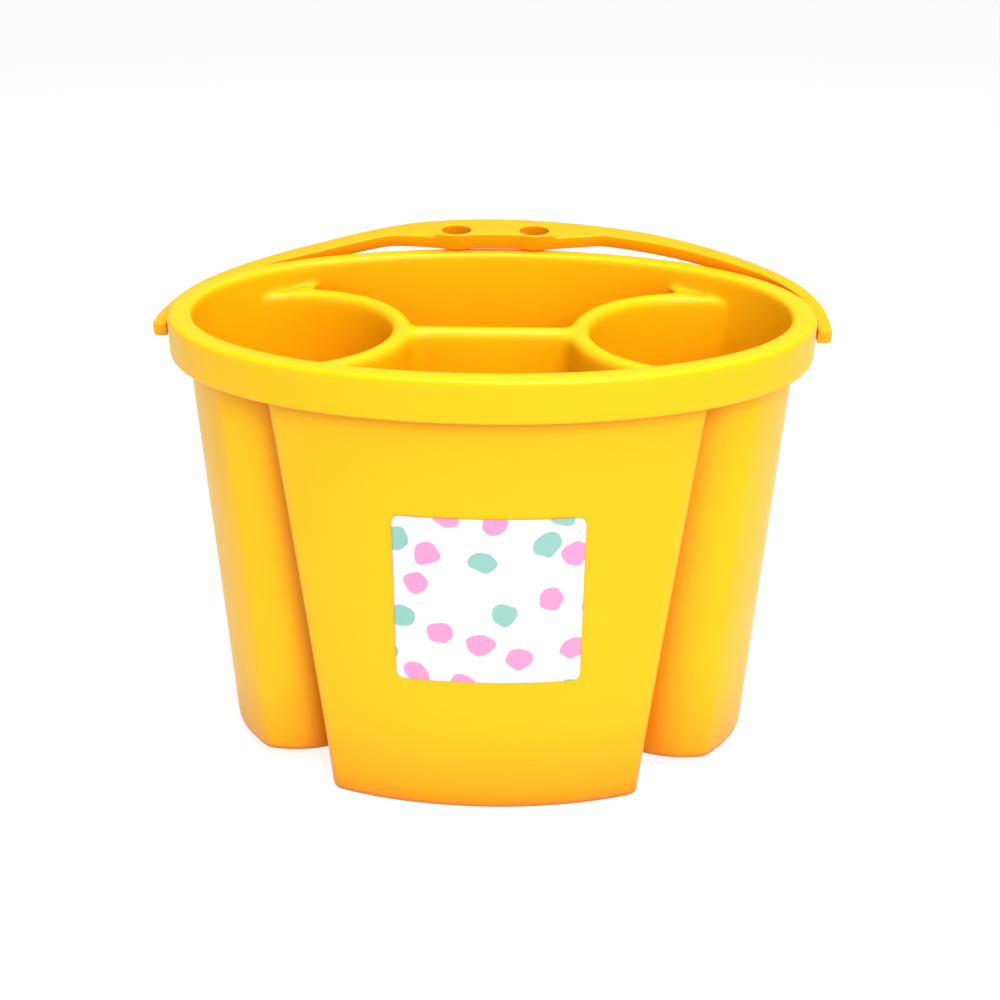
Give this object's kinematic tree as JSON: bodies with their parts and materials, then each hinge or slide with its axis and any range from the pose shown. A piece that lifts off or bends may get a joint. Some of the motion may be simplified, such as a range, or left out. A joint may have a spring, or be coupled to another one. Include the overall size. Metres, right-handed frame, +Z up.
{
  "type": "brush washer",
  "caption": "Oval plastic brush-washing tub with round side wells, front and back wells, a skirted rim, a swing-over carry handle with brush holes, and a paper label.",
  "frame": {"origin": "on the table, under the middle of the whole object's box, with the handle laid back", "axes": "+X to the right along the long way of the rim, +Y to the back, where the handle lies, +Z up"},
  "size_m": [0.1888, 0.1296, 0.1424],
  "materials": {
    "tub_plastic": "semi-gloss moulded yellow polypropylene",
    "handle_plastic": "semi-gloss moulded yellow polypropylene",
    "label_paper": "printed gummed paper with pastel dots"
  },
  "bodies": {
    "tub": {"tub": "tub_plastic", "label": "label_paper"},
    "handle": {"handle": "handle_plastic"}
  },
  "joints": [
    {"name": "handle_swing", "type": "hinge", "parent": "tub", "child": "handle", "pos_m": [0, -0.00576, 0.13], "axis": [1, 0, 0], "range_deg": [0, 161.5]}
  ]
}
